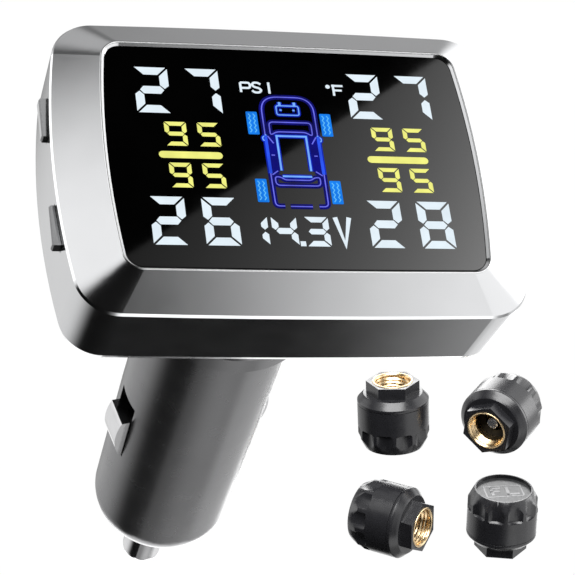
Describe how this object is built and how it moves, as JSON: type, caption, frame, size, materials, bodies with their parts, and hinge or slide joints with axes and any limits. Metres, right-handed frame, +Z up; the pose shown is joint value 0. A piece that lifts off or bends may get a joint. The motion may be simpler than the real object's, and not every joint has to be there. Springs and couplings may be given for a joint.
{
  "type": "tire pressure monitor",
  "caption": "Reclined colour display with silver bezel on a tilting 12 V dash plug with sprung contacts, and a set of screw-on valve cap pressure sensors.",
  "frame": {"origin": "on the plug's axis at the collar's seating face, where it meets the socket's rim", "axes": "+X to the display's right, +Z up, the screen faces -Y and leans back 27.5 degrees, the plug points back and 36 degrees down"},
  "size_m": [0.1419, 0.2116, 0.0841],
  "materials": {
    "silver_case": "satin metallised plastic",
    "screen_glass": "polished, black print behind",
    "display_black": "lit segments on black",
    "white_diffuser": "translucent white",
    "white_moulding": "moulded",
    "circuit_green": "solder mask",
    "chip_black": "moulded",
    "copper_wire": "bare wire",
    "dark_satin_plastic": "satin",
    "black_steel": "blackened",
    "bright_steel": "nickel plated",
    "spring_steel": "drawn wire",
    "nylon": "natural",
    "fuse_glass": "clear tube with plated caps",
    "sensor_black": "satin black",
    "brass_thread": "turned",
    "seal_rubber": "moulded",
    "cell_steel": "brushed",
    "label_grey": "printed foil"
  },
  "bodies": {
    "plug": {"plug_barrel": "dark_satin_plastic", "neck_knuckle": "dark_satin_plastic", "nose_ring": "bright_steel", "fuse": "fuse_glass", "plug_board": "circuit_green", "tip_spring": "spring_steel"},
    "display": {"front_shell": "silver_case", "screen_lens": "screen_glass", "lcd_panel": "display_black", "backlight": "white_diffuser", "lcd_carrier": "white_moulding", "main_board": "circuit_green", "board_chips": "chip_black", "buzzer": "chip_black", "antenna": "copper_wire", "back_plate": "dark_satin_plastic", "back_screws": "black_steel", "hinge_pin": "bright_steel", "hinge_nut": "bright_steel", "hinge_washers": "nylon", "switch_upper": "chip_black", "switch_lower": "chip_black"},
    "key_upper": {"key_upper": "silver_case"},
    "key_lower": {"key_lower": "silver_case"},
    "tip": {"tip_contact": "bright_steel"},
    "side_contact_left": {"side_contact_left": "bright_steel"},
    "side_contact_right": {"side_contact_right": "bright_steel"},
    "sensor_1": {"sensor_1_base": "sensor_black", "sensor_1_insert": "brass_thread", "sensor_1_gasket": "seal_rubber", "sensor_1_depressor": "bright_steel", "sensor_1_board": "circuit_green", "sensor_1_battery": "cell_steel"},
    "cap_1": {"sensor_1_cap": "sensor_black", "sensor_1_label": "label_grey"},
    "sensor_2": {"sensor_2_base": "sensor_black", "sensor_2_insert": "brass_thread", "sensor_2_gasket": "seal_rubber", "sensor_2_depressor": "bright_steel", "sensor_2_board": "circuit_green", "sensor_2_battery": "cell_steel"},
    "cap_2": {"sensor_2_cap": "sensor_black", "sensor_2_label": "label_grey"},
    "sensor_3": {"sensor_3_base": "sensor_black", "sensor_3_insert": "brass_thread", "sensor_3_gasket": "seal_rubber", "sensor_3_depressor": "bright_steel", "sensor_3_board": "circuit_green", "sensor_3_battery": "cell_steel"},
    "cap_3": {"sensor_3_cap": "sensor_black", "sensor_3_label": "label_grey"},
    "sensor_4": {"sensor_4_base": "sensor_black", "sensor_4_insert": "brass_thread", "sensor_4_gasket": "seal_rubber", "sensor_4_depressor": "bright_steel", "sensor_4_board": "circuit_green", "sensor_4_battery": "cell_steel"},
    "cap_4": {"sensor_4_cap": "sensor_black", "sensor_4_label": "label_grey"}
  },
  "joints": [
    {"name": "display_tilt", "type": "hinge", "parent": "plug", "child": "display", "pos_m": [0, -0.0093, 0.00676], "axis": [1, 0, 0], "range_deg": [-12, 12]},
    {"name": "key_upper_press", "type": "slide", "parent": "display", "child": "key_upper", "axis": [1, 0, 0], "range_m": [0, 0.0005], "stiffness_N_per_m": 600, "springref_m": -0.0005},
    {"name": "key_lower_press", "type": "slide", "parent": "display", "child": "key_lower", "axis": [1, 0, 0], "range_m": [0, 0.0005], "stiffness_N_per_m": 600, "springref_m": -0.0005},
    {"name": "tip_press", "type": "slide", "parent": "plug", "child": "tip", "axis": [0, -0.809, 0.5878], "range_m": [0, 0.004], "stiffness_N_per_m": 400, "springref_m": -0.002, "deforming": ["tip_spring"]},
    {"name": "side_left_press", "type": "slide", "parent": "plug", "child": "side_contact_left", "axis": [0.9781, 0.1222, 0.1682], "range_m": [0, 0.0018], "stiffness_N_per_m": 1200, "springref_m": -0.0005},
    {"name": "side_right_press", "type": "slide", "parent": "plug", "child": "side_contact_right", "axis": [-0.9781, -0.1222, -0.1682], "range_m": [0, 0.0018], "stiffness_N_per_m": 1200, "springref_m": -0.0005},
    {"name": "sensor_1_slide", "type": "slide", "parent": "plug", "child": "sensor_1", "axis": [0, 1, 0], "range_m": [0, 0.06]},
    {"name": "cap_1_turn", "type": "hinge", "parent": "sensor_1", "child": "cap_1", "pos_m": [0.0776, 0.1569, -0.0185], "axis": [-0.1421, -0.3518, 0.9252], "range_deg": [0, 60]},
    {"name": "sensor_2_slide", "type": "slide", "parent": "plug", "child": "sensor_2", "axis": [0, 1, 0], "range_m": [0, 0.06]},
    {"name": "cap_2_turn", "type": "hinge", "parent": "sensor_2", "child": "cap_2", "pos_m": [0.0991, 0.1507, -0.0191], "axis": [-0.6673, -0.5987, -0.4431], "range_deg": [0, 60]},
    {"name": "sensor_3_slide", "type": "slide", "parent": "plug", "child": "sensor_3", "axis": [0, 1, 0], "range_m": [0, 0.06]},
    {"name": "cap_3_turn", "type": "hinge", "parent": "sensor_3", "child": "cap_3", "pos_m": [0.076, 0.153, -0.0406], "axis": [0.6957, -0.686, -0.213], "range_deg": [0, 60]},
    {"name": "sensor_4_slide", "type": "slide", "parent": "plug", "child": "sensor_4", "axis": [0, 1, 0], "range_m": [0, 0.06]},
    {"name": "cap_4_turn", "type": "hinge", "parent": "sensor_4", "child": "cap_4", "pos_m": [0.1033, 0.1607, -0.0412], "axis": [0.1075, 0.4379, -0.8926], "range_deg": [0, 60]}
  ]
}
